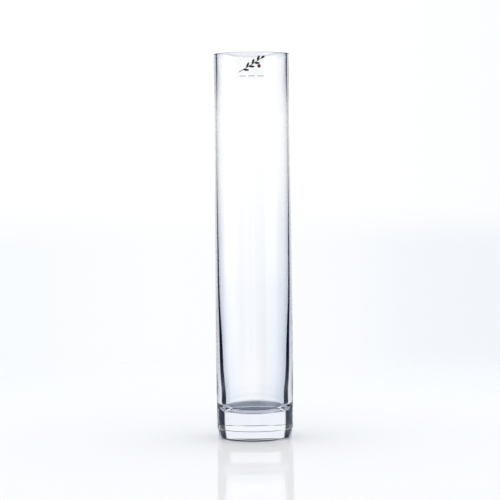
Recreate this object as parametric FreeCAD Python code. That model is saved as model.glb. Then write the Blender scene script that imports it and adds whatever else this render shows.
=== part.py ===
import FreeCAD, Part
import math
import os

from FreeCAD import Vector

# A tall glass cylinder vase with a heavy solid base and a thin clear label at its mouth.
# Millimetres, +Z up. The origin is the centre of the ring that the vase stands on, and the
# label faces -Y. Every piece is a solid of its own, written to parts/NODE.step.

# Vessel, driving sizes
VESSEL_HEIGHT = 400.0
LIP_THICKNESS = 3.3
LIP_RADIUS = 39.15
LIP_OUTSIDE_EDGE = 0.4
LIP_INSIDE_EDGE = 1.0
HEEL_BREAK = 11.0
HEEL_STEP = 0.6
HEEL_SLOPE = 9.0
HEEL_RADIUS = 3.0
STANDING_RING_WIDTH = 4.0
PUSH_UP = 1.2
CAVITY_CORNER_LEVEL = 38.0
CAVITY_CORNER = 10.0
CAVITY_FLOOR_SLOPE = 14.0

# The blown wall isn't a true tube: it bellies a little low down and necks in under the lip.
# Each station is (height, radius), from the heel upwards.
OUTER_STATIONS = [
    (HEEL_BREAK, 39.45),
    (37.0, 39.75),
    (142.0, 40.0),
    (247.0, 39.35),
    (352.0, 38.7),
    (VESSEL_HEIGHT - LIP_OUTSIDE_EDGE, LIP_RADIUS),
]
# The glass thickens from 1.7 mm under the lip to about 9 mm above the solid base.
INNER_STATIONS = [
    (CAVITY_CORNER_LEVEL, 30.4),
    (58.0, 31.8),
    (100.0, 33.7),
    (142.0, 35.7),
    (184.0, 36.3),
    (247.0, 36.95),
    (300.0, 37.15),
    (352.0, 37.0),
    (VESSEL_HEIGHT - LIP_INSIDE_EDGE, LIP_RADIUS - LIP_THICKNESS),
]

# Label, driving sizes
ADHESIVE_THICKNESS = 0.05
FILM_THICKNESS = 0.10
INK_THICKNESS = 0.05
FILM_WIDTH = 33.0
FILM_HEIGHT = 25.0
FILM_CORNER = 2.5
FILM_MIDDLE = 384.5

# Sprig, berry and dashes printed on the label, measured from the film's middle
STEM_START = (-12.6, -5.0)
STEM_MIDDLE = (-0.5, 2.0)
STEM_END = (10.6, 9.2)
STEM_WIDTH = 0.7
LEAF_LENGTH = 6.4
LEAF_WIDTH = 2.3
LEAF_WIDEST = 0.45
LEAF_SPREAD = 34.0
LEAVES_PER_SIDE = 3
FIRST_LEAF = 0.24
LEAF_STEP = 0.24
LEAF_STAGGER = 0.07
TIP_LEAF_LENGTH = 5.0
TIP_LEAF_OVERLAP = 0.04
BERRY_CENTRE = (7.7, 0.9)
BERRY_RADIUS = 1.8
DASH_LENGTH = 6.6
DASH_HEIGHT = 0.9
DASH_CORNER = 0.36
DASH_PITCH = 9.3
DASH_LEVEL = -9.2

# How far the cutting shapes reach from the axis, well past the label
CUT_REACH = 60.0


def wall_curve(stations):
    """A smooth curve through wall stations, upright at both of its ends."""
    points = [Vector(radius, 0, height) for height, radius in stations]
    curve = Part.BSplineCurve()
    upright = Vector(0, 0, 1)
    curve.interpolate(Points=points, InitialTangent=upright, FinalTangent=upright)
    return curve


def arc_edge(start, middle, end):
    """An arc in the profile plane through three (radius, height) points."""
    corners = [Vector(radius, 0, height) for radius, height in (start, middle, end)]
    return Part.Arc(*corners).toShape()


def line_edge(start, end):
    """A straight edge in the profile plane between two (radius, height) points."""
    return Part.LineSegment(Vector(start[0], 0, start[1]), Vector(end[0], 0, end[1])).toShape()


def round_point(centre, radius, degrees):
    """The point of a rounding at an angle from the outward direction."""
    angle = math.radians(degrees)
    return (centre[0] + radius * math.cos(angle), centre[1] + radius * math.sin(angle))


def rounding(centre, radius, first, last):
    """An arc about a centre in the profile plane, between two angles from outward."""
    middle = (first + last) / 2
    return arc_edge(*[round_point(centre, radius, degrees) for degrees in (first, middle, last)])


def dish_edge(rim, centre):
    """A shallow arc from a rim point to a point on the axis, level where it meets the axis."""
    depth = rim[1] - centre[1]
    radius = (rim[0] ** 2 + depth ** 2) / (2 * abs(depth))
    half_angle = math.asin(rim[0] / radius) / 2
    rise = math.copysign(radius * (1 - math.cos(half_angle)), depth)
    return arc_edge(rim, (radius * math.sin(half_angle), centre[1] + rise), centre)


def revolve_profile(edges):
    """Turn a closed profile of edges about the vase's axis into one solid."""
    face = Part.Face(Part.Wire(Part.__sortEdges__(edges)))
    solid = face.revolve(Vector(0, 0, 0), Vector(0, 0, 1), 360)
    return Part.Solid(solid.Shells[0]) if solid.ShapeType != "Solid" else solid


def glass_vessel():
    """The one-piece vessel: wall, flat lip, solid base, heel and hollowed underside."""
    outer_wall = wall_curve(OUTER_STATIONS).toShape()
    inner_wall = wall_curve(INNER_STATIONS).toShape()

    outside = (LIP_RADIUS - LIP_OUTSIDE_EDGE, VESSEL_HEIGHT - LIP_OUTSIDE_EDGE)
    inside = (LIP_RADIUS - LIP_THICKNESS + LIP_INSIDE_EDGE, VESSEL_HEIGHT - LIP_INSIDE_EDGE)
    lip = [
        rounding(outside, LIP_OUTSIDE_EDGE, 0, 90),
        line_edge(round_point(outside, LIP_OUTSIDE_EDGE, 90), round_point(inside, LIP_INSIDE_EDGE, 90)),
        rounding(inside, LIP_INSIDE_EDGE, 90, 180),
    ]

    corner_level, wall_foot_radius = INNER_STATIONS[0]
    corner_centre = (wall_foot_radius - CAVITY_CORNER, corner_level)
    corner_turn = 90 - CAVITY_FLOOR_SLOPE
    corner_end = round_point(corner_centre, CAVITY_CORNER, -corner_turn)
    corner = rounding(corner_centre, CAVITY_CORNER, 0, -corner_turn)

    # The dished floor leaves the corner at the corner's own slope and is level on the axis.
    floor_slope = math.radians(CAVITY_FLOOR_SLOPE)
    floor_radius = corner_end[0] / math.sin(floor_slope)
    floor_centre = (0, corner_end[1] - floor_radius * (1 - math.cos(floor_slope)))
    floor = dish_edge(corner_end, floor_centre)

    # At the heel's break the wall steps in at 45 degrees, then slopes in more gently, and a
    # rounding brings it to the standing ring.
    heel_slope = math.radians(HEEL_SLOPE)
    break_point = (OUTER_STATIONS[0][1], HEEL_BREAK)
    step_point = (break_point[0] - HEEL_STEP, HEEL_BREAK - HEEL_STEP)
    round_start_level = HEEL_RADIUS * (1 - math.sin(heel_slope))
    round_start_radius = step_point[0] - (step_point[1] - round_start_level) * math.tan(heel_slope)
    heel_centre = (round_start_radius - HEEL_RADIUS * math.cos(heel_slope), HEEL_RADIUS)
    round_start = (round_start_radius, round_start_level)
    ring_outside = (heel_centre[0], 0)
    step = line_edge(break_point, step_point)
    slope = line_edge(step_point, round_start)
    heel = rounding(heel_centre, HEEL_RADIUS, -HEEL_SLOPE, -90)
    ring_inside = (ring_outside[0] - STANDING_RING_WIDTH, 0)
    ring = line_edge(ring_outside, ring_inside)

    underside_centre = (0, PUSH_UP)
    underside = dish_edge(ring_inside, underside_centre)
    axis = line_edge(underside_centre, floor_centre)

    cavity = [inner_wall, corner, floor]
    foot = [underside, ring, heel, slope, step]
    return revolve_profile([outer_wall] + lip + cavity + [axis] + foot)


def label_layer(inner_gap, outer_gap):
    """A skin round the upper wall, between two distances out from the glass."""
    low = FILM_MIDDLE - FILM_HEIGHT / 2 - 1
    high = FILM_MIDDLE + FILM_HEIGHT / 2 + 1
    band = Part.makeBox(2 * CUT_REACH, 2 * CUT_REACH, high - low, Vector(-CUT_REACH, -CUT_REACH, low))
    skins = []
    for gap in (inner_gap, outer_gap):
        outer_wall = wall_curve(OUTER_STATIONS).toShape()
        outer_wall.translate(Vector(gap, 0, 0))
        top = outer_wall.valueAt(outer_wall.LastParameter)
        foot = outer_wall.valueAt(outer_wall.FirstParameter)
        cap = line_edge((top.x, top.z), (0, top.z))
        axis = line_edge((0, top.z), (0, foot.z))
        base = line_edge((0, foot.z), (foot.x, foot.z))
        skins.append(revolve_profile([outer_wall, cap, axis, base]).common(band))
    return skins[1].cut(skins[0])


def label_prism(face):
    """A face drawn in the label's plane, reaching out through the front of the wall."""
    moved = face.copy()
    moved.translate(Vector(0, 0, FILM_MIDDLE))
    return moved.extrude(Vector(0, -CUT_REACH, 0))


def rounded_rectangle(width, height, corner):
    """A rounded rectangle in the label's plane, about the film's middle."""
    plate = Part.makeBox(width, 1, height, Vector(-width / 2, 0, -height / 2))
    upright = [edge for edge in plate.Edges if abs(edge.tangentAt(edge.FirstParameter).y) > 0.9]
    rounded = plate.makeFillet(corner, upright)
    faces = [face for face in rounded.Faces if abs(face.CenterOfMass.y) < 1e-6]
    return faces[0]


def leaf_face(root, heading, length):
    """A pointed leaf of two arcs, from its root along a heading in degrees."""
    angle = math.radians(heading)
    along = Vector(math.cos(angle), 0, math.sin(angle))
    across = Vector(-math.sin(angle), 0, math.cos(angle))
    tip = root + along * length
    middle = root + along * length * LEAF_WIDEST
    upper = Part.Arc(root, middle + across * LEAF_WIDTH / 2, tip).toShape()
    lower = Part.Arc(tip, middle - across * LEAF_WIDTH / 2, root).toShape()
    return Part.Face(Part.Wire([upper, lower]))


def stem_face(stem):
    """A band of even width along the stem's arc, with straight ends."""
    sides = []
    for shift in (-STEM_WIDTH / 2, STEM_WIDTH / 2):
        points = []
        for point in stem.discretize(3):
            outward = (point - stem.Curve.Center).normalize()
            points.append(point + outward * shift)
        sides.append(points)
    near, far = sides
    edges = [Part.Arc(*near).toShape(), Part.LineSegment(near[-1], far[-1]).toShape()]
    edges += [Part.Arc(*reversed(far)).toShape(), Part.LineSegment(far[0], near[0]).toShape()]
    return Part.Face(Part.Wire(edges))


def heading_at(stem, share):
    """The stem's direction in degrees, a share of the way along it."""
    place = stem.FirstParameter + (stem.LastParameter - stem.FirstParameter) * share
    tangent = stem.tangentAt(place)
    return stem.valueAt(place), math.degrees(math.atan2(tangent.z, tangent.x))


def sprig_faces():
    """The printed sprig: a curved stem, leaves on both sides and one at the tip."""
    corners = [Vector(x, 0, z) for x, z in (STEM_START, STEM_MIDDLE, STEM_END)]
    stem = Part.Arc(*corners).toShape()
    faces = [stem_face(stem)]
    for number in range(LEAVES_PER_SIDE):
        for side in (-1, 1):
            share = FIRST_LEAF + LEAF_STEP * number + LEAF_STAGGER * side
            root, heading = heading_at(stem, share)
            faces.append(leaf_face(root, heading + side * LEAF_SPREAD, LEAF_LENGTH))
    root, heading = heading_at(stem, 1 - TIP_LEAF_OVERLAP)
    faces.append(leaf_face(root, heading, TIP_LEAF_LENGTH))
    return faces


def label_adhesive():
    """The clear adhesive between the glass and the film."""
    outline = rounded_rectangle(FILM_WIDTH, FILM_HEIGHT, FILM_CORNER)
    return label_layer(0, ADHESIVE_THICKNESS).common(label_prism(outline))


def label_film():
    """The clear film that carries the print."""
    outline = rounded_rectangle(FILM_WIDTH, FILM_HEIGHT, FILM_CORNER)
    layer = label_layer(ADHESIVE_THICKNESS, ADHESIVE_THICKNESS + FILM_THICKNESS)
    return layer.common(label_prism(outline))


def ink_layer():
    """The skin that every print lies in, on the film's outer face."""
    film_face = ADHESIVE_THICKNESS + FILM_THICKNESS
    return label_layer(film_face, film_face + INK_THICKNESS)


def sprig_print():
    """The black print: stem and leaves joined into one patch of ink."""
    prisms = [label_prism(face) for face in sprig_faces()]
    joined = prisms[0].multiFuse(prisms[1:])
    return ink_layer().common(joined)


def berry_print():
    """The dark red print: one round spot beside the sprig."""
    centre = Vector(BERRY_CENTRE[0], 0, BERRY_CENTRE[1])
    circle = Part.Circle(centre, Vector(0, 1, 0), BERRY_RADIUS).toShape()
    return ink_layer().common(label_prism(Part.Face(Part.Wire(circle))))


def dash_print():
    """The grey print: a row of three plain dashes under the sprig."""
    dashes = []
    for number in (-1, 0, 1):
        dash = rounded_rectangle(DASH_LENGTH, DASH_HEIGHT, DASH_CORNER)
        dash.translate(Vector(number * DASH_PITCH, 0, DASH_LEVEL))
        dashes.append(ink_layer().common(label_prism(dash)))
    return Part.makeCompound([solid for dash in dashes for solid in dash.Solids])


NODES = {
    "glass_vessel": glass_vessel,
    "label_adhesive": label_adhesive,
    "label_film": label_film,
    "sprig_print": sprig_print,
    "berry_print": berry_print,
    "dash_print": dash_print,
}


def main():
    os.makedirs("parts", exist_ok=True)
    for name, make in NODES.items():
        shape = make()
        if shape.ShapeType == "Compound" and len(shape.Solids) == 1:
            shape = shape.Solids[0]
        box = shape.BoundBox
        print(name, shape.ShapeType, "solids", len(shape.Solids), "valid", shape.isValid(),
              "volume %.2f" % shape.Volume,
              "z %.2f to %.2f" % (box.ZMin, box.ZMax), "x %.2f to %.2f" % (box.XMin, box.XMax),
              "y %.2f to %.2f" % (box.YMin, box.YMax))
        shape.exportStep("parts/%s.step" % name)


main()
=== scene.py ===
"""A tall clear-glass cylinder vase with a small printed label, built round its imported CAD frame.

The vessel is turned from its outline by a Geometry Nodes tree. The label's film and its three
prints keep their CAD meshes and get their finishes here.
"""

import math

import bpy
import numpy as np
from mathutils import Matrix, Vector


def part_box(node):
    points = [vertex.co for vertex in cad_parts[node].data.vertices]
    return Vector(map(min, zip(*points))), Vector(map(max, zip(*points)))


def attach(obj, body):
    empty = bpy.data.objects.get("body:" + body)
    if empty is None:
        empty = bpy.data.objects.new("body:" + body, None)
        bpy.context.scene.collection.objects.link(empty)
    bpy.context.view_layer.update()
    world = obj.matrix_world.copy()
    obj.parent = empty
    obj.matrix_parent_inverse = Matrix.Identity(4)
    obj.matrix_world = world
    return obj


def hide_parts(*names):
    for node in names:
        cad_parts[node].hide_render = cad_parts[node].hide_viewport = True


bl_info = {
    "name": "Glass cylinder vase",
    "version": (1, 0, 0),
    "blender": (4, 5, 0),
    "location": "3D View > Sidebar > Vase",
    "description": "Builds a tall clear-glass cylinder vase, its label and a studio stage",
    "category": "Object",
}

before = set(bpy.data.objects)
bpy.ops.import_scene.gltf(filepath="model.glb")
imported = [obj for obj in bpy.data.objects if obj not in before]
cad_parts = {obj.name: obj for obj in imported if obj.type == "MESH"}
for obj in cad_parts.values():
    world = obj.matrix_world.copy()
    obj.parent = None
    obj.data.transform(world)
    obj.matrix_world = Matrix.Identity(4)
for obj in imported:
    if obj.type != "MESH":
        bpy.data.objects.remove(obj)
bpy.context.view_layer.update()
MM = 0.001


# ---------------------------------------------------------------- node helpers

class Graph:
    """A node tree that is written as calls and expressions."""

    def __init__(self, tree):
        self.tree = tree

    def node(self, kind, settings=None, **inputs):
        """Add a node: its type, then its settings, then values or links for its sockets."""
        made = self.tree.nodes.new(kind)
        for name, value in (settings or {}).items():
            if name == "stops":
                set_stops(made.color_ramp, value)
            else:
                setattr(made, name, value)
        for name, value in inputs.items():
            self.feed(find_socket(made.inputs, name), value)
        return made

    def feed(self, socket, value):
        """Link a wrapped socket to an input, or set a plain value on it."""
        if isinstance(value, Wire):
            self.tree.links.new(value.socket, socket)
        else:
            socket.default_value = value

    def wire(self, node, output=0):
        """One output of a node, wrapped so that it can stand in an expression."""
        if isinstance(output, int):
            return Wire(self, node.outputs[output])
        return Wire(self, find_socket(node.outputs, output))

    def math(self, operation, *values):
        """A Math node on one or two numbers or wires."""
        made = self.tree.nodes.new("ShaderNodeMath")
        made.operation = operation
        for socket, value in zip(made.inputs, values):
            self.feed(socket, value)
        return Wire(self, made.outputs[0])

    def ramp(self, factor, stops):
        """A colour ramp's value at a factor."""
        return self.wire(self.node("ShaderNodeValToRGB", {"stops": stops}, Fac=factor))

    def between(self, value, start, end):
        """A smooth step from 0 at start to 1 at end, which may be the lower of the two."""
        made = self.node("ShaderNodeMapRange", {"interpolation_type": "SMOOTHSTEP"},
                         Value=value, From_Min=min(start, end), From_Max=max(start, end))
        return self.wire(made) if start < end else 1 - self.wire(made)

    def mix(self, factor, first, second):
        """A mix of two colours."""
        made = self.tree.nodes.new("ShaderNodeMix")
        made.data_type = "RGBA"
        colours = [socket for socket in made.inputs if socket.type == "RGBA"]
        self.feed(made.inputs["Factor"], factor)
        self.feed(colours[0], first)
        self.feed(colours[1], second)
        return Wire(self, [socket for socket in made.outputs if socket.type == "RGBA"][0])


class Wire:
    """An output socket that takes part in arithmetic by adding Math nodes."""

    def __init__(self, graph, socket):
        self.graph = graph
        self.socket = socket

    def __add__(self, other):
        return self.graph.math("ADD", self, other)

    __radd__ = __add__

    def __sub__(self, other):
        return self.graph.math("SUBTRACT", self, other)

    def __rsub__(self, other):
        return self.graph.math("SUBTRACT", other, self)

    def __mul__(self, other):
        return self.graph.math("MULTIPLY", self, other)

    __rmul__ = __mul__

    def __truediv__(self, other):
        return self.graph.math("DIVIDE", self, other)


def find_socket(sockets, name):
    """A socket by its name; keyword names use an underscore for a space."""
    wanted = name.replace("_", " ")
    for socket in sockets:
        if socket.name == wanted and socket.enabled:
            return socket
    raise KeyError(f"no socket named {wanted!r}")


def set_stops(ramp, stops):
    """Give a colour ramp exactly these (place, colour) stops."""
    while len(ramp.elements) > 1:
        ramp.elements.remove(ramp.elements[-1])
    for number, (place, colour) in enumerate(stops):
        element = ramp.elements[0] if number == 0 else ramp.elements.new(place)
        element.position = place
        element.color = colour


def new_material(name):
    """An empty node material, its graph and its output node."""
    material = bpy.data.materials.new(name)
    material.use_nodes = True
    material.node_tree.nodes.clear()
    graph = Graph(material.node_tree)
    output = graph.node("ShaderNodeOutputMaterial")
    return material, graph, output


def bump(graph, height, distance, strength):
    """A surface normal raised by a height field."""
    made = graph.node("ShaderNodeBump", Height=height, Distance=distance, Strength=strength)
    return graph.wire(made)


# ---------------------------------------------------------------- settings

class VesselSettings(bpy.types.PropertyGroup):
    """Sizes of the glass vessel."""

    lip_outside: bpy.props.FloatProperty(
        name="Lip outside edge", description="Rounding of the flat lip's outer edge",
        default=0.4 * MM, unit="LENGTH")
    lip_inside: bpy.props.FloatProperty(
        name="Lip inside edge", description="Rounding of the flat lip's inner edge",
        default=1.0 * MM, unit="LENGTH")
    heel_break: bpy.props.FloatProperty(
        name="Heel break", description="Height where the wall starts to slope in towards the foot",
        default=11.0 * MM, unit="LENGTH")
    heel_slope: bpy.props.FloatProperty(
        name="Heel slope", description="How far the wall leans in below the heel's step",
        default=math.radians(9.0), unit="ROTATION")
    heel_step: bpy.props.FloatProperty(
        name="Heel step", description="How far the wall steps in, at 45 degrees, at the heel's break",
        default=0.6 * MM, unit="LENGTH")
    heel_radius: bpy.props.FloatProperty(
        name="Heel radius", description="Rounding between the sloping heel and the standing ring",
        default=3.0 * MM, unit="LENGTH")
    ring_width: bpy.props.FloatProperty(
        name="Standing ring width", description="Width of the flat ring that the vase stands on",
        default=4.0 * MM, unit="LENGTH")
    push_up: bpy.props.FloatProperty(
        name="Push-up", description="Rise of the hollowed underside at its centre",
        default=1.2 * MM, unit="LENGTH")
    corner_level: bpy.props.FloatProperty(
        name="Cavity corner level", description="Height where the cavity's wall starts to turn in",
        default=38.0 * MM, unit="LENGTH")
    corner_radius: bpy.props.FloatProperty(
        name="Cavity corner", description="Rounding between the cavity's wall and its floor",
        default=10.0 * MM, unit="LENGTH")
    floor_slope: bpy.props.FloatProperty(
        name="Cavity floor slope", description="Slope of the dished floor where it meets its corner",
        default=math.radians(14.0), unit="ROTATION")
    wall_step: bpy.props.FloatProperty(
        name="Wall step", description="Height of one ring of faces on the walls",
        default=4.0 * MM, unit="LENGTH")
    segments: bpy.props.IntProperty(
        name="Segments", description="Faces round the vessel", default=224, min=16)


class LabelSettings(bpy.types.PropertyGroup):
    """Colours of the label."""

    black: bpy.props.FloatVectorProperty(
        name="Black ink", description="Colour of the sprig", subtype="COLOR",
        default=(0.012, 0.012, 0.016))
    red: bpy.props.FloatVectorProperty(
        name="Red ink", description="Colour of the berry", subtype="COLOR",
        default=(0.10, 0.004, 0.016))
    grey: bpy.props.FloatVectorProperty(
        name="Grey ink", description="Colour of the dashes", subtype="COLOR",
        default=(0.42, 0.42, 0.44))
    haze: bpy.props.FloatProperty(
        name="Haze", description="How much the film veils what is behind it",
        default=0.10, min=0, max=1, subtype="FACTOR")


class StageSettings(bpy.types.PropertyGroup):
    """Camera and floor."""

    lens: bpy.props.FloatProperty(
        name="Lens", description="Focal length in millimetres", default=141.7)
    eye_height: bpy.props.FloatProperty(
        name="Eye height", description="Camera's height above the floor",
        default=0.267, unit="LENGTH")
    eye_distance: bpy.props.FloatProperty(
        name="Eye distance", description="Camera's distance from the vase's axis",
        default=2.052, unit="LENGTH")
    aim_height: bpy.props.FloatProperty(
        name="Aim height", description="Height of the point that the camera looks at",
        default=0.1962, unit="LENGTH")
    aim_side: bpy.props.FloatProperty(
        name="Aim side", description="How far right of the axis the camera looks",
        default=-0.0035, unit="LENGTH")
    roll: bpy.props.FloatProperty(
        name="Roll", description="How far the camera is turned clockwise about its own axis",
        default=math.radians(0.62), unit="ROTATION")
    floor_radius: bpy.props.FloatProperty(
        name="Floor radius", description="Where the floor has faded into the surroundings",
        default=1.2, unit="LENGTH")


# ---------------------------------------------------------------- glass vessel

# A radius between the inner wall's largest and the outer wall's smallest.
WALL_SPLIT = 37.9 * MM
WALL_CURVE_DEGREE = 12
LEVEL_SLACK = 0.001 * MM
CRISP_REACH = 0.1 * MM
WELD_DISTANCE = 0.002 * MM


def wall_radius(vessel, low, high, outside):
    """The wall's radius by height: a smooth curve through the CAD vessel's own vertices."""
    corners = np.array([vertex.co for vertex in vessel.data.vertices], float)
    radii = np.hypot(corners[:, 0], corners[:, 1])
    side = radii > WALL_SPLIT if outside else radii < WALL_SPLIT
    keep = side & (corners[:, 2] >= low - LEVEL_SLACK) & (corners[:, 2] <= high + LEVEL_SLACK)
    curve = np.polynomial.Chebyshev.fit(corners[keep, 2], radii[keep], WALL_CURVE_DEGREE)
    return lambda height: float(curve(height))


def round_off(centre, radius, start, end, steps):
    """Points of an arc in the outline, between two angles in degrees."""
    turn = [math.radians(start + (end - start) * step / steps) for step in range(steps + 1)]
    return [(centre[0] + radius * math.cos(a), centre[1] + radius * math.sin(a)) for a in turn]


def dish(radius, level, sag, steps):
    """Points of a shallow arc from the axis out to a radius, by its height at the rim."""
    points = []
    for step in range(steps + 1):
        share = step / steps
        points.append((radius * share, level - sag * (1 - share * share)))
    return points


def crisp(points, reach):
    """The points of an outline with its corners kept crisp by a close point on each side."""
    kept = [points[0]]
    for before, corner, after in zip(points, points[1:], points[2:]):
        for end in (before, after):
            share = reach / math.dist(corner, end)
            near = tuple(c + (e - c) * share for c, e in zip(corner, end))
            kept += [near] if end is after else [near, corner]
    return kept + [points[-1]]


def heel_outline(sizes, break_radius):
    """The foot from the underside's centre out to the heel's break."""
    lean = sizes.heel_slope
    step_point = (break_radius - sizes.heel_step, sizes.heel_break - sizes.heel_step)
    round_start = sizes.heel_radius * (1 - math.sin(lean))
    inset = (step_point[1] - round_start) * math.tan(lean) + sizes.heel_radius * math.cos(lean)
    foot_radius = step_point[0] - inset
    points = dish(foot_radius - sizes.ring_width, 0, -sizes.push_up, steps=10)
    points += round_off((foot_radius, sizes.heel_radius), sizes.heel_radius,
                        -90, -math.degrees(lean), steps=10)
    break_point = (break_radius, sizes.heel_break)
    above = (break_radius, sizes.heel_break + sizes.wall_step / 2)
    return points + crisp([points[-1], step_point, break_point, above], CRISP_REACH)[1:]


def floor_outline(sizes, wall_radius_at_corner):
    """The cavity's rounded corner and its dished floor, in to the axis."""
    centre = (wall_radius_at_corner - sizes.corner_radius, sizes.corner_level)
    turn = 90 - math.degrees(sizes.floor_slope)
    corner = round_off(centre, sizes.corner_radius, 0, -turn, steps=16)
    radius, level = corner[-1]
    sag = radius / math.sin(sizes.floor_slope) * (1 - math.cos(sizes.floor_slope))
    return corner + dish(radius, level, sag, steps=12)[-2::-1]


def vessel_outline(sizes):
    """The vessel's half outline as (radius, height), from the underside round to the cavity."""
    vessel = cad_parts["glass_vessel"]
    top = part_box("glass_vessel")[1].z
    outer_top = top - sizes.lip_outside
    inner_top = top - sizes.lip_inside
    outer = wall_radius(vessel, sizes.heel_break, outer_top, outside=True)
    inner = wall_radius(vessel, sizes.corner_level, inner_top, outside=False)

    points = heel_outline(sizes, outer(sizes.heel_break))
    steps = round((outer_top - sizes.heel_break) / sizes.wall_step)
    heights = np.linspace(sizes.heel_break, outer_top, steps + 1)[1:-1]
    points += [(outer(height), height) for height in heights]
    points += round_off((outer(outer_top) - sizes.lip_outside, outer_top),
                        sizes.lip_outside, 0, 90, steps=8)
    points += round_off((inner(inner_top) + sizes.lip_inside, inner_top),
                        sizes.lip_inside, 90, 180, steps=10)
    steps = round((inner_top - sizes.corner_level) / sizes.wall_step)
    heights = np.linspace(inner_top, sizes.corner_level, steps + 1)
    points += [(inner(height), height) for height in heights[1:-1]]
    return points + floor_outline(sizes, inner(sizes.corner_level))


def outline_curve(name, points):
    """An outline as an open poly spline in the XZ plane."""
    data = bpy.data.curves.new(name, "CURVE")
    data.dimensions = "3D"
    spline = data.splines.new("POLY")
    spline.points.add(len(points) - 1)
    for point, (radius, height) in zip(spline.points, points):
        point.co = (radius, 0, height, 1)
    made = bpy.data.objects.new(name, data)
    bpy.context.scene.collection.objects.link(made)
    return made


def turning_tree():
    """A Geometry Nodes tree that turns an outline curve about the Z axis into a closed solid."""
    tree = bpy.data.node_groups.new("turn_outline", "GeometryNodeTree")
    face = tree.interface
    face.new_socket("Geometry", in_out="INPUT", socket_type="NodeSocketGeometry")
    face.new_socket("Rings", in_out="INPUT", socket_type="NodeSocketInt")
    face.new_socket("Segments", in_out="INPUT", socket_type="NodeSocketInt")
    face.new_socket("Weld distance", in_out="INPUT", socket_type="NodeSocketFloat")
    face.new_socket("Material", in_out="INPUT", socket_type="NodeSocketMaterial")
    face.new_socket("Geometry", in_out="OUTPUT", socket_type="NodeSocketGeometry")
    graph = Graph(tree)
    given = graph.node("NodeGroupInput")
    outline, rings, segments, weld, material = (graph.wire(given, number) for number in range(5))

    columns = segments + 1
    grid = graph.node("GeometryNodeMeshGrid", None, Vertices_X=rings, Vertices_Y=columns)
    index = graph.wire(graph.node("GeometryNodeInputIndex"))
    ring = graph.math("FLOOR", (index + 0.5) / columns)
    column = index - ring * columns
    place = graph.wire(graph.node("GeometryNodeInputPosition"))
    sample = graph.node("GeometryNodeSampleIndex", {"data_type": "FLOAT_VECTOR"},
                        Geometry=outline, Value=place, Index=ring)
    split = graph.node("ShaderNodeSeparateXYZ", None, Vector=graph.wire(sample))
    radius = graph.wire(split, "X")
    angle = column * math.tau / segments
    turned = graph.node("ShaderNodeCombineXYZ", None, X=radius * graph.math("COSINE", angle),
                        Y=radius * graph.math("SINE", angle), Z=graph.wire(split, "Z"))
    moved = graph.node("GeometryNodeSetPosition", None,
                       Geometry=graph.wire(grid, "Mesh"), Position=graph.wire(turned))
    welded = graph.node("GeometryNodeMergeByDistance", None,
                        Geometry=graph.wire(moved), Distance=weld)
    outward = graph.node("GeometryNodeFlipFaces", None, Mesh=graph.wire(welded))
    smooth = graph.node("GeometryNodeSetShadeSmooth", None, Geometry=graph.wire(outward))
    real = graph.node("GeometryNodeRealizeInstances", None, Geometry=graph.wire(smooth))
    finished = graph.node("GeometryNodeSetMaterial", None,
                          Geometry=graph.wire(real), Material=material)
    graph.node("NodeGroupOutput", None, Geometry=graph.wire(finished))
    return tree


def run_tree(source, tree, name, inputs):
    """Run a tree on an object and return the result as an object with a plain mesh."""
    modifier = source.modifiers.new(tree.name, "NODES")
    modifier.node_group = tree
    for item in tree.interface.items_tree:
        if item.in_out == "INPUT" and item.name in inputs:
            modifier[item.identifier] = inputs[item.name]
    source.update_tag()
    evaluated = source.evaluated_get(bpy.context.evaluated_depsgraph_get())
    mesh = bpy.data.meshes.new_from_object(evaluated)
    bpy.data.objects.remove(source)
    mesh.name = name
    made = bpy.data.objects.new(name, mesh)
    bpy.context.scene.collection.objects.link(made)
    return made


# Painted shade: the cavity's foot is painted a deeper tone by place, dark at its corner and grey on
# its floor, where a heavy base looks dark. It is a tint and not refraction, so it can be taken out
# for other lighting.
PAINTED_CORNER_SHADE = (0.10, 0.115, 0.14, 1)
PAINTED_FLOOR_SHADE = (0.56, 0.59, 0.64, 1)
CAVITY_REACH = 31.5 * MM
CAVITY_ABOVE = 15.0 * MM
CORNER_FADE = (36.2 * MM, 33.8 * MM)
FLOOR_FADE = (29.0 * MM, 26.5 * MM)
WAVE_DEPTH = 0.02 * MM


def clear_glass():
    """Clear blown glass: a breath of tint, faint waves from blowing, and painted shade at the
    cavity's foot.
    """
    material, graph, output = new_material("clear_glass")
    place = graph.wire(graph.node("ShaderNodeTexCoord"), "Object")
    stretched = graph.node("ShaderNodeMapping", None, Vector=place, Scale=(1, 1, 0.35))
    waves = graph.node("ShaderNodeTexNoise", None, Vector=graph.wire(stretched),
                       Scale=26.0, Detail=1.0, Roughness=0.4)
    tint = graph.ramp(graph.wire(waves),
                      [(0.3, (0.985, 0.992, 0.998, 1)), (0.7, (0.998, 0.999, 1.0, 1))])
    split = graph.node("ShaderNodeSeparateXYZ", None, Vector=place)
    x, y, height = (graph.wire(split, name) for name in "XYZ")
    radius = graph.math("SQRT", x * x + y * y)
    cavity = (graph.math("LESS_THAN", radius, CAVITY_REACH)
              * graph.math("GREATER_THAN", height, CAVITY_ABOVE))
    # Painted shade: a dark ring at the cavity's corner and a grey cavity floor, mixed into the
    # glass's colour by height.
    tint_and_painted_corner_shade = graph.mix(cavity * graph.between(height, *CORNER_FADE), tint, PAINTED_CORNER_SHADE)
    shade = graph.mix(cavity * graph.between(height, *FLOOR_FADE), tint_and_painted_corner_shade, PAINTED_FLOOR_SHADE)
    normal = bump(graph, graph.wire(waves), WAVE_DEPTH, 0.6)
    glass = graph.node("ShaderNodeBsdfPrincipled", None, Base_Color=shade, Roughness=0.0,
                       IOR=1.5, Transmission_Weight=1.0, Normal=normal)
    graph.feed(output.inputs["Surface"], graph.wire(glass))
    return material


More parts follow.
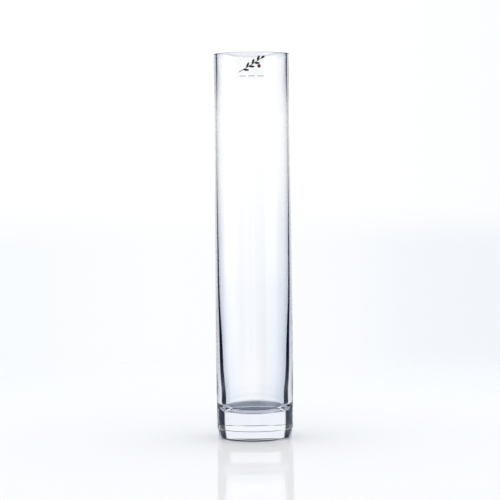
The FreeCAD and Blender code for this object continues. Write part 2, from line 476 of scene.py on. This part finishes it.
class VASE_OT_vessel(bpy.types.Operator):
    """Turn the glass vessel from its outline"""

    bl_idname = "vase.vessel"
    bl_label = "Build glass vessel"

    def execute(self, context):
        sizes = context.scene.vase_vessel
        points = vessel_outline(sizes)
        source = outline_curve("vessel_outline", points)
        vessel = run_tree(source, turning_tree(), "vessel_glass", {
            "Rings": len(points), "Segments": sizes.segments,
            "Weld distance": WELD_DISTANCE, "Material": clear_glass()})
        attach(vessel, "root")
        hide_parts("glass_vessel")
        return {"FINISHED"}


# ---------------------------------------------------------------- label

# What each ink fades to where it lies thin.
THIN_BLACK = (0.03, 0.03, 0.035)
THIN_RED = (0.2, 0.02, 0.05)
THIN_GREY = (0.55, 0.55, 0.57)
GRAIN_DEPTH = 0.01 * MM


def ink(name, colour, thin_colour):
    """Printed ink: even cover, a little thinner in places, satin."""
    material, graph, output = new_material(name)
    place = graph.wire(graph.node("ShaderNodeTexCoord"), "Object")
    cloud = graph.wire(graph.node("ShaderNodeTexNoise", None,
                                  Vector=place, Scale=900.0, Detail=3.0))
    grain = graph.wire(graph.node("ShaderNodeTexNoise", None,
                                  Vector=place, Scale=6000.0, Detail=1.0))
    cover = graph.between(cloud * 0.7 + grain * 0.3, 0.42, 0.72)
    shade = graph.mix(cover, (*colour, 1), (*thin_colour, 1))
    paint = graph.node("ShaderNodeBsdfPrincipled", None, Base_Color=shade,
                       Roughness=0.38 + 0.2 * grain, Normal=bump(graph, grain, GRAIN_DEPTH, 0.5))
    graph.feed(output.inputs["Surface"], graph.wire(paint))
    return material


def film_finish(haze):
    """Clear glossy film, a little milky, with faint streaks from its rolling."""
    material, graph, output = new_material("clear_film")
    place = graph.wire(graph.node("ShaderNodeTexCoord"), "Object")
    drawn_out = graph.node("ShaderNodeMapping", None, Vector=place, Scale=(120, 120, 900))
    streaks = graph.wire(graph.node("ShaderNodeTexNoise", None,
                                    Vector=graph.wire(drawn_out), Scale=1.0, Detail=2.0))
    veil = haze * (0.8 + 0.4 * streaks)
    film = graph.node("ShaderNodeBsdfPrincipled", None, Base_Color=(0.93, 0.95, 0.97, 1),
                      Roughness=0.06 + 0.04 * streaks, Alpha=veil,
                      Normal=bump(graph, streaks, GRAIN_DEPTH, 0.4))
    graph.feed(output.inputs["Surface"], graph.wire(film))
    return material


class VASE_OT_label(bpy.types.Operator):
    """Finish the label's film and its prints"""

    bl_idname = "vase.label"
    bl_label = "Finish label"

    def execute(self, context):
        colours = context.scene.vase_label
        finishes = {
            "label_film": film_finish(colours.haze),
            "label_adhesive": film_finish(colours.haze / 2),
            "sprig_print": ink("black_ink", colours.black, THIN_BLACK),
            "berry_print": ink("red_ink", colours.red, THIN_RED),
            "dash_print": ink("grey_ink", colours.grey, THIN_GREY),
        }
        for node, finish in finishes.items():
            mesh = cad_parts[node].data
            mesh.materials.clear()
            mesh.materials.append(finish)
        return {"FINISHED"}


# ---------------------------------------------------------------- stage

# How bright the surroundings are by direction, as rows of (degrees clockwise from +Y, colour). This
# isn't one real room: the light's path through the glass picks the table that it meets. The dark
# stretches draw the edges of clear glass. They stand at fixed directions, placed for views
# from 0, 45, 90 and 225 degrees, so other views get them where they fall.
INK = (0.004, 0.009, 0.027)
DUSK = (0.30, 0.33, 0.42)
DAY = (0.92, 0.95, 1.0)
HIGH_DAY = (0.85, 0.9, 1.0)

# Light that crossed one wall or the solid base, never turned back: near level, then lower.
BENT_LEVEL = [
    (-180, INK), (-166, INK), (-160, DUSK), (-154, INK), (-132, INK), (-126, DAY), (-78, DAY),
    (-74, INK), (-43, INK), (-40, DAY), (40, DAY), (43, INK), (66, INK), (69, DAY), (73, INK),
    (94, INK), (98, DAY), (172, DAY), (176, INK), (180, INK),
]
BENT_LOW = [
    (-180, INK), (-166, INK), (-160, DUSK), (-154, INK), (-132, INK), (-126, DAY), (66, DAY),
    (73, INK), (94, INK), (98, DAY), (172, DAY), (176, INK), (180, INK),
]
# Light that the glass turned back, near level.
TURNED_LEVEL = [
    (-180, DUSK), (-172, INK), (-160, DUSK), (-148, INK), (-136, INK), (-112, DAY), (-84, DAY),
    (-77, INK), (-34, INK), (-27, DAY), (27, DAY), (34, INK), (92, INK), (110, DAY), (138, DAY),
    (146, INK), (172, INK), (180, DUSK),
]
# Light that the glass turned back more than once.
MANY = [
    (-180, INK), (-124, INK), (-118, DAY), (-112, DAY), (-106, INK), (98, INK), (104, DAY),
    (112, DAY), (118, INK), (180, INK),
]
# Light that crossed both walls: level and above, then a little below level.
CLEAR_HIGH = [
    (-180, (1.0, 1.0, 1.0)), (-52, (1.3, 1.32, 1.35)), (-32, (1.05, 1.07, 1.12)),
    (-20, (0.98, 1.0, 1.05)), (-8, (1.15, 1.15, 1.15)), (4, (1.1, 1.1, 1.1)),
    (9, (1.05, 1.07, 1.1)), (24, (0.93, 0.97, 1.04)), (34, (1.05, 1.08, 1.12)),
    (52, (1.3, 1.32, 1.35)), (180, (1.0, 1.0, 1.0)),
]
CLEAR_LOW = [
    (-180, (0.9, 0.93, 0.98)), (-52, (1.2, 1.26, 1.34)), (-36, (0.94, 1.0, 1.1)),
    (-24, (0.77, 0.83, 0.94)), (-10, (0.87, 0.91, 0.98)), (-4, (1.0, 1.01, 1.04)),
    (0, (1.02, 1.03, 1.06)), (4, (0.88, 0.92, 0.97)), (12, (0.77, 0.83, 0.93)),
    (24, (0.68, 0.75, 0.88)), (36, (0.86, 0.93, 1.05)), (52, (1.2, 1.26, 1.34)),
    (180, (0.9, 0.93, 0.98)),
]
# Any light that the glass bent or turned back and that goes up: low in the sky, then higher.
ABOVE = [(-180, DAY), (-72, DAY), (-60, INK), (58, INK), (68, DAY), (180, DAY)]
HIGH = [
    (-180, INK), (-152, INK), (-144, HIGH_DAY), (-30, HIGH_DAY), (-22, INK), (55, INK),
    (63, HIGH_DAY), (144, HIGH_DAY), (152, INK), (180, INK),
]
# One plain tone each, all the way round: steeply down past one wall, steeply down past both, and
# a little upwards by light that was turned back and crossed both.
EDGE_STEEP = (0.50, 0.55, 0.65)
CLEAR_STEEP = (0.74, 0.79, 0.88)
HAZE = (0.75, 0.8, 0.9)

# Where one gives way to the next, as the sine of the angle above level, from start to end.
TO_BENT_LOW = (-0.21, -0.25)
TO_EDGE_STEEP = (-0.36, -0.42)
TO_MANY = (-0.45, -0.37)
TO_CLEAR_LOW = (0.01, -0.09)
TO_CLEAR_STEEP = (-0.2, -0.35)
TO_HAZE = (0.075, 0.1)
TO_ABOVE = (0.165, 0.2)
TO_HIGH = (0.38, 0.45)
TO_BACKDROP_LOW = (-0.01, -0.035)

# What straight views see, as rows of (share of a turn clockwise from -Y, colour): above the
# horizon, and below it. The floor is lit by one plain tone from all round.
BACKDROP_HIGH = [
    (0.0, (0.98, 0.99, 1.0, 1)), (0.42, (0.97, 0.985, 1.0, 1)), (0.49, (1.0, 1.0, 1.0, 1)),
    (0.51, (1.0, 1.0, 1.0, 1)), (0.54, (0.93, 0.96, 0.985, 1)), (0.75, (0.98, 0.99, 1.0, 1)),
]
BACKDROP_LOW = [
    (0.0, (0.98, 0.99, 1.0, 1)), (0.42, (0.90, 0.94, 0.98, 1)), (0.48, (0.94, 0.965, 0.99, 1)),
    (0.493, (0.985, 0.99, 1.0, 1)), (0.507, (0.96, 0.975, 1.0, 1)),
    (0.513, (0.90, 0.93, 0.97, 1)), (0.54, (0.87, 0.90, 0.95, 1)), (0.75, (0.98, 0.99, 1.0, 1)),
]
FLOOR_LIGHT = (1.03, 1.04, 1.05, 1)

# The floor: where its fade starts as a share of its radius, how much of it is gloss, how many
# sides it has and how far it lies under the vase.
FLOOR_FADE_START = 0.25
FLOOR_GLOSS = 0.17
FLOOR_SIDES = 96
FLOOR_GAP = 0.05 * MM


def field(graph, azimuth, rows):
    """Colour by azimuth from a table of directions."""
    stops = [((degrees + 180) / 360, (*colour, 1)) for degrees, colour in rows]
    return graph.ramp(azimuth / math.tau + 0.5, stops)


def surroundings():
    """Light and dark by direction for bent light; straight views see a plain pale backdrop."""
    world = bpy.data.worlds.new("studio")
    bpy.context.scene.world = world
    world.use_nodes = True
    world.node_tree.nodes.clear()
    graph = Graph(world.node_tree)
    way = graph.wire(graph.node("ShaderNodeTexCoord"), "Generated")
    split = graph.node("ShaderNodeSeparateXYZ", None, Vector=way)
    x, y, z = (graph.wire(split, name) for name in "XYZ")
    azimuth = graph.math("ARCTAN2", x, y)
    path = graph.node("ShaderNodeLightPath")

    straight = graph.math("LESS_THAN", graph.wire(path, "Glossy Depth"), 0.5)
    inside = graph.math("GREATER_THAN", graph.wire(path, "Transmission Depth"), 0.5)
    through = graph.math("GREATER_THAN", graph.wire(path, "Transmission Depth"), 2.5)
    many = graph.math("GREATER_THAN", graph.wire(path, "Glossy Depth"), 1.5)

    turned = field(graph, azimuth, TURNED_LEVEL)
    bent = graph.mix(graph.between(z, *TO_BENT_LOW), field(graph, azimuth, BENT_LEVEL),
                     field(graph, azimuth, BENT_LOW))
    edge = graph.mix(straight, turned, bent)
    edge = graph.mix(graph.between(z, *TO_EDGE_STEEP), edge, (*EDGE_STEEP, 1))
    edge = graph.mix(many * graph.between(z, *TO_MANY), edge, field(graph, azimuth, MANY))

    clear = graph.mix(graph.between(z, *TO_CLEAR_LOW), field(graph, azimuth, CLEAR_HIGH),
                      field(graph, azimuth, CLEAR_LOW))
    clear = graph.mix(graph.between(z, *TO_CLEAR_STEEP), clear, (*CLEAR_STEEP, 1))
    mirrored = (1 - straight) * graph.between(z, *TO_HAZE)
    clear = graph.mix(mirrored, clear, (*HAZE, 1))

    met = graph.mix(through, edge, clear)
    met = graph.mix(graph.between(z, *TO_ABOVE), met, field(graph, azimuth, ABOVE))
    lit = graph.mix(graph.between(z, *TO_HIGH), met, field(graph, azimuth, HIGH))

    turn = azimuth / math.tau + 0.5
    seen = graph.mix(graph.between(z, *TO_BACKDROP_LOW), graph.ramp(turn, BACKDROP_HIGH),
                     graph.ramp(turn, BACKDROP_LOW))
    plain = graph.mix(graph.wire(path, "Is Diffuse Ray"), seen, FLOOR_LIGHT)
    direct = graph.math("LESS_THAN", graph.wire(path, "Glossy Depth") + inside, 0.5)
    colour = graph.mix(direct, lit, plain)
    light = graph.node("ShaderNodeBackground", None, Color=colour, Strength=1.0)
    output = graph.node("ShaderNodeOutputWorld")
    graph.feed(output.inputs["Surface"], graph.wire(light))


def floor_finish(radius):
    """Pale glossy floor that fades into the surroundings."""
    material, graph, output = new_material("pale_floor")
    place = graph.wire(graph.node("ShaderNodeTexCoord"), "Object")
    away = graph.node("ShaderNodeVectorMath", {"operation": "LENGTH"})
    graph.feed(away.inputs[0], place)
    fade = graph.between(graph.wire(away, "Value"), radius * FLOOR_FADE_START, radius)
    matt = graph.node("ShaderNodeBsdfDiffuse", None, Color=(0.98, 0.985, 0.99, 1))
    gloss = graph.node("ShaderNodeBsdfAnisotropic", None,
                       Color=(0.97, 0.98, 1.0, 1), Roughness=0.06)
    pale = graph.node("ShaderNodeMixShader")
    graph.feed(pale.inputs[0], FLOOR_GLOSS)
    graph.feed(pale.inputs[1], graph.wire(matt))
    graph.feed(pale.inputs[2], graph.wire(gloss))
    clear = graph.node("ShaderNodeBsdfTransparent")
    blend = graph.node("ShaderNodeMixShader")
    graph.feed(blend.inputs[0], fade)
    graph.feed(blend.inputs[1], graph.wire(pale))
    graph.feed(blend.inputs[2], graph.wire(clear))
    graph.feed(output.inputs["Surface"], graph.wire(blend))
    return material


def studio_floor(radius):
    """A round floor just under the vase."""
    data = bpy.data.meshes.new("studio_floor")
    rim = [(radius * math.cos(a), radius * math.sin(a), -FLOOR_GAP)
           for a in (math.tau * side / FLOOR_SIDES for side in range(FLOOR_SIDES))]
    data.from_pydata(rim, [], [list(range(FLOOR_SIDES))])
    floor = bpy.data.objects.new("studio_floor", data)
    bpy.context.scene.collection.objects.link(floor)
    data.materials.append(floor_finish(radius))
    # Views through the glass meet the surroundings below, not the floor.
    floor.visible_transmission = False


def camera(stage):
    """A long lens in front of the vase, turned a touch clockwise about its axis."""
    data = bpy.data.cameras.new("camera")
    data.lens = stage.lens
    made = bpy.data.objects.new("camera", data)
    bpy.context.scene.collection.objects.link(made)
    place = Vector((stage.aim_side, -stage.eye_distance, stage.eye_height))
    target = Vector((stage.aim_side, 0, stage.aim_height))
    aim = (target - place).to_track_quat("-Z", "Y").to_euler()
    aim.rotate_axis("Z", -stage.roll)
    made.location = place
    made.rotation_euler = aim
    bpy.context.scene.camera = made


class VASE_OT_stage(bpy.types.Operator):
    """Set up the floor, the surroundings and the camera"""

    bl_idname = "vase.stage"
    bl_label = "Set up stage"

    def execute(self, context):
        stage = context.scene.vase_stage
        surroundings()
        studio_floor(stage.floor_radius)
        camera(stage)
        context.scene.view_settings.view_transform = "Standard"
        # Light crosses many walls of glass before it leaves.
        context.scene.cycles.max_bounces = 24
        context.scene.cycles.glossy_bounces = 16
        context.scene.cycles.transmission_bounces = 20
        return {"FINISHED"}


class VASE_PT_panel(bpy.types.Panel):
    """Lists the vase's pieces and their settings"""

    bl_idname = "VASE_PT_panel"
    bl_label = "Glass cylinder vase"
    bl_space_type = "VIEW_3D"
    bl_region_type = "UI"
    bl_category = "Vase"

    def draw(self, context):
        scene = context.scene
        for group, operator in (
                (scene.vase_vessel, VASE_OT_vessel),
                (scene.vase_label, VASE_OT_label),
                (scene.vase_stage, VASE_OT_stage)):
            box = self.layout.box()
            for name in group.__annotations__:
                box.prop(group, name)
            box.operator(operator.bl_idname)


CLASSES = (VesselSettings, LabelSettings, StageSettings,
           VASE_OT_vessel, VASE_OT_label, VASE_OT_stage, VASE_PT_panel)


def register():
    for each in CLASSES:
        bpy.utils.register_class(each)
    bpy.types.Scene.vase_vessel = bpy.props.PointerProperty(type=VesselSettings)
    bpy.types.Scene.vase_label = bpy.props.PointerProperty(type=LabelSettings)
    bpy.types.Scene.vase_stage = bpy.props.PointerProperty(type=StageSettings)


def unregister():
    del bpy.types.Scene.vase_stage
    del bpy.types.Scene.vase_label
    del bpy.types.Scene.vase_vessel
    for each in reversed(CLASSES):
        bpy.utils.unregister_class(each)


def main():
    register()
    bpy.ops.vase.vessel()
    bpy.ops.vase.label()
    bpy.ops.vase.stage()


if __name__ == "__main__":
    main()
